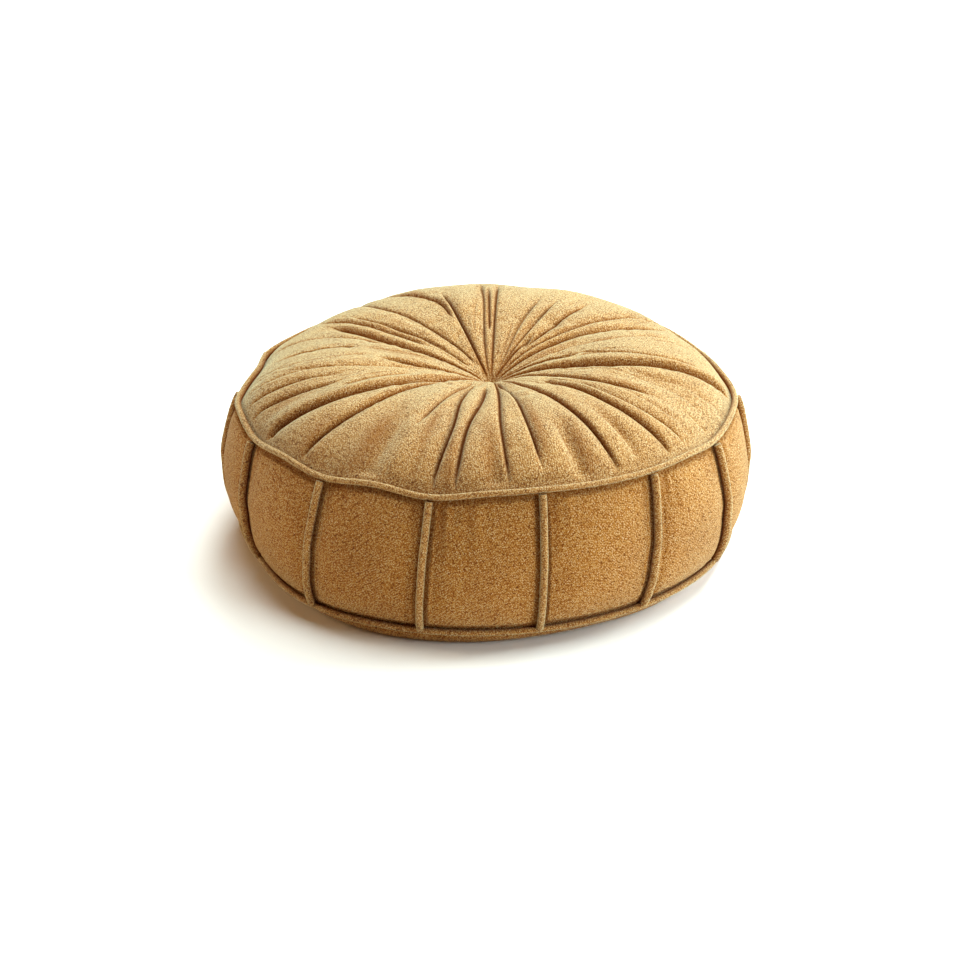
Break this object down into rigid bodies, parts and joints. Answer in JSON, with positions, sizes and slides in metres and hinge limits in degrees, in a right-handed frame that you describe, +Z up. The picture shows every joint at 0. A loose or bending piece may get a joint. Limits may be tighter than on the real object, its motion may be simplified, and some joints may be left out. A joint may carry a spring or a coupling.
{
  "type": "round floor pouf",
  "caption": "Round low floor pouf in teddy cloth, with a crown pleated into a centre gather, drawn-in side panels with raised welts, and a flat base.",
  "frame": {"origin": "middle of the flat base, on the floor", "axes": "+Z up through the crown, -Y the side seen in front in the picture, +X to its right"},
  "size_m": [0.6064, 0.6061, 0.2316],
  "materials": {
    "teddy_cloth": "short curly teddy pile, mustard, matt with a soft sheen",
    "teddy_welt": "the same teddy cloth folded into a narrow raised strip"
  },
  "bodies": {
    "root": {"filled_cover": "teddy_cloth", "top_rim_welt": "teddy_welt", "bottom_rim_welt": "teddy_welt", "side_welt_01": "teddy_welt", "side_welt_02": "teddy_welt", "side_welt_03": "teddy_welt", "side_welt_04": "teddy_welt", "side_welt_05": "teddy_welt", "side_welt_06": "teddy_welt", "side_welt_07": "teddy_welt", "side_welt_08": "teddy_welt", "side_welt_09": "teddy_welt", "side_welt_10": "teddy_welt", "side_welt_11": "teddy_welt", "side_welt_12": "teddy_welt", "side_welt_13": "teddy_welt", "side_welt_14": "teddy_welt"}
  },
  "joints": []
}
